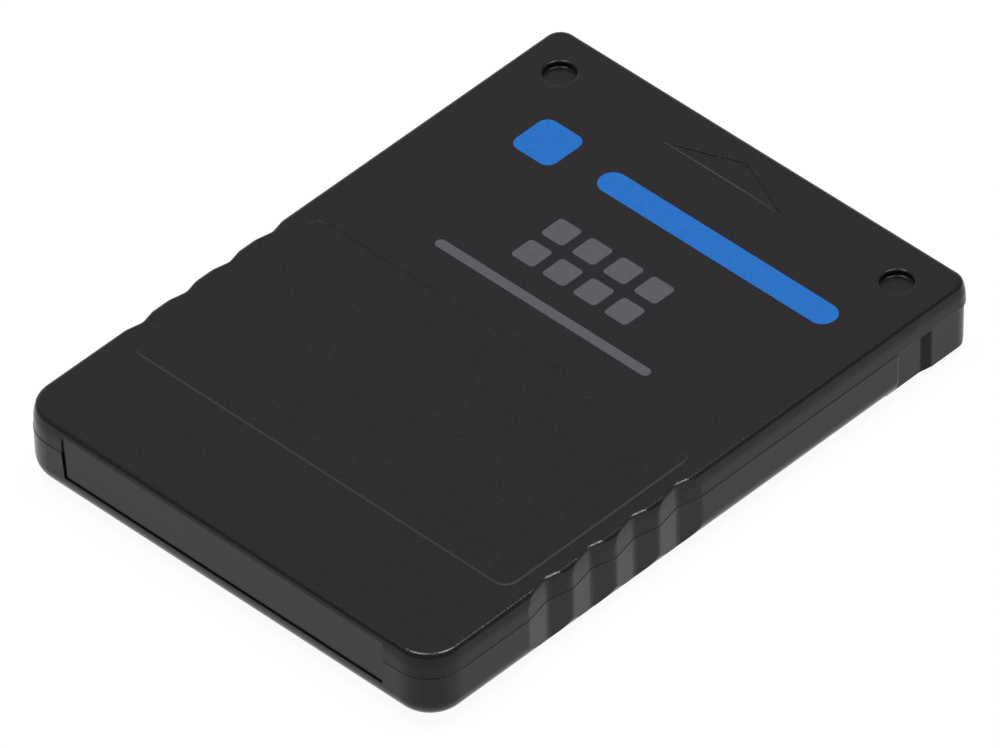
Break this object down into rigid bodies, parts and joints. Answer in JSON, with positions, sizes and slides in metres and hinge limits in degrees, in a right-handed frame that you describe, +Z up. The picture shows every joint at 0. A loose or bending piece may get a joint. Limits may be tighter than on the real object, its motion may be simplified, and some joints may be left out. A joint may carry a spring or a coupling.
{
  "type": "console memory card",
  "caption": "Flat black memory card with wavy finger grips, a label recess, a sunken arrow and a stepped nose with a contact mouth that slides into a game console's card slot.",
  "frame": {"origin": "middle of the card's footprint, on the plane of its flat underside", "axes": "+X across the card, +Y along it towards the contact end that goes into the slot, +Z up out of the label face"},
  "size_m": [0.043, 0.0582, 0.0065],
  "materials": {
    "shell": "fine-grained charcoal black moulding",
    "board": "green solder mask on glass fibre laminate",
    "contact": "gold-plated contact",
    "chip": "black chip moulding",
    "lead": "tinned legs",
    "resonator": "coated ceramic",
    "capacitor": "tan ceramic with tinned ends",
    "resistor": "dark film with tinned ends"
  },
  "bodies": {
    "root": {"top_cover": "shell", "bottom_case": "shell", "circuit_board": "board", "contact_pad_1": "contact", "contact_pad_2": "contact", "contact_pad_3": "contact", "contact_pad_4": "contact", "contact_pad_5": "contact", "contact_pad_6": "contact", "contact_pad_7": "contact", "contact_pad_8": "contact", "controller_chip": "chip", "controller_leads": "lead", "flash_chip": "chip", "flash_leads": "lead", "clock_resonator": "resonator", "capacitor_1": "capacitor", "capacitor_2": "capacitor", "capacitor_3": "capacitor", "capacitor_4": "capacitor", "resistor_1": "resistor", "resistor_2": "resistor", "resistor_3": "resistor", "resistor_4": "resistor", "resistor_5": "resistor", "resistor_6": "resistor"}
  },
  "joints": []
}
